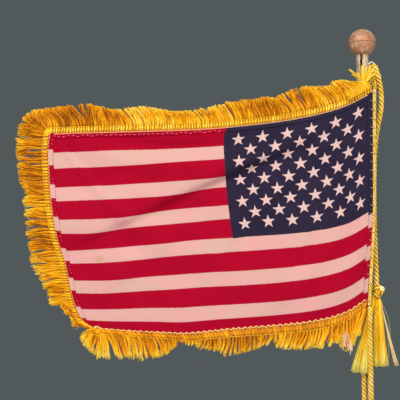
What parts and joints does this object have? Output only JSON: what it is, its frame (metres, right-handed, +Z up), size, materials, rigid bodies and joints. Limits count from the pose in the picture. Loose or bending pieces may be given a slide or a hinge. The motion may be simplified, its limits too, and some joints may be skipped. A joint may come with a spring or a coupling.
{
  "type": "desk flag stand",
  "caption": "Miniature fringed cloth flag on a rolled-tube staff with a pressed ball finial, twisted cords and hanging tassels, standing on a round weighted base.",
  "frame": {"origin": "centre of the felt's underside, on the staff's axis", "axes": "+Z up along the staff, -X along the flag from hoist to fly, -Y towards the side the flag hangs on"},
  "size_m": [0.202, 0.076, 0.2685],
  "materials": {
    "felt": "matt wool felt",
    "steel": "zinc plated",
    "iron": "as cast",
    "base_gilt": "satin gilt, rubbed pale at the edges",
    "brass_bush": "turned",
    "staff_gilt": "worn gilt, pale and pitted",
    "dowel": "raw",
    "eye_wire": "bare wire",
    "ball_copper": "worn copper gilt, scuffed",
    "stem_brass": "turned",
    "cloth": "printed plain weave, slight sheen",
    "fringe_gold": "lustrous rayon",
    "cord_gold": "twisted rayon",
    "thread": "cotton thread",
    "tassel_gold": "lustrous rayon"
  },
  "bodies": {
    "base": {"felt_pad": "felt", "base_plate": "steel", "base_weight": "iron", "base_shell": "base_gilt", "base_socket": "brass_bush", "base_washer": "steel", "base_screw": "steel"},
    "ferrule": {"staff_ferrule": "brass_bush"},
    "staff": {"staff_tube": "staff_gilt", "staff_plug": "dowel", "top_eye": "eye_wire", "lower_eye": "eye_wire", "cord_loop": "cord_gold", "knot_top": "cord_gold", "knot_bottom": "cord_gold", "halyard_link": "cord_gold", "halyard_front": "cord_gold", "halyard_back": "cord_gold", "tassel_cord": "cord_gold", "tassel_knot": "cord_gold", "tassel_bight": "cord_gold"},
    "finial": {"finial_upper": "ball_copper", "finial_lower": "ball_copper", "finial_stem": "stem_brass"},
    "flag": {"flag_cloth": "cloth", "fringe_top": "fringe_gold", "fringe_fly": "fringe_gold", "fringe_bottom": "fringe_gold", "hoist_cord": "cord_gold", "hoist_stitches": "thread"},
    "tassel_left": {"tassel_left_head": "tassel_gold", "tassel_left_binding": "tassel_gold", "tassel_left_skirt": "tassel_gold"},
    "tassel_right": {"tassel_right_head": "tassel_gold", "tassel_right_binding": "tassel_gold", "tassel_right_skirt": "tassel_gold"}
  },
  "joints": [
    {"name": "staff_lift", "type": "slide", "parent": "base", "child": "ferrule", "axis": [0, 0, 1], "range_m": [0, 0.0085]},
    {"name": "staff_turn", "type": "hinge", "parent": "ferrule", "child": "staff", "pos_m": [0, 0, 0.03], "axis": [0, 0, 1], "continuous": true},
    {"name": "finial_pull", "type": "slide", "parent": "staff", "child": "finial", "axis": [0, 0, 1], "range_m": [0, 0.004]},
    {"name": "flag_swing", "type": "hinge", "parent": "staff", "child": "flag", "pos_m": [0.0014, -0.01, 0.187], "axis": [0, 0, 1], "range_deg": [0, 100]},
    {"name": "tassel_left_swing", "type": "hinge", "parent": "staff", "child": "tassel_left", "pos_m": [0.0017, -0.00675, 0.1386], "axis": [0, 1, 0], "range_deg": [0, 35]},
    {"name": "tassel_right_swing", "type": "hinge", "parent": "staff", "child": "tassel_right", "pos_m": [0.0046, -0.0049, 0.1379], "axis": [0, -1, 0], "range_deg": [0, 35]}
  ]
}
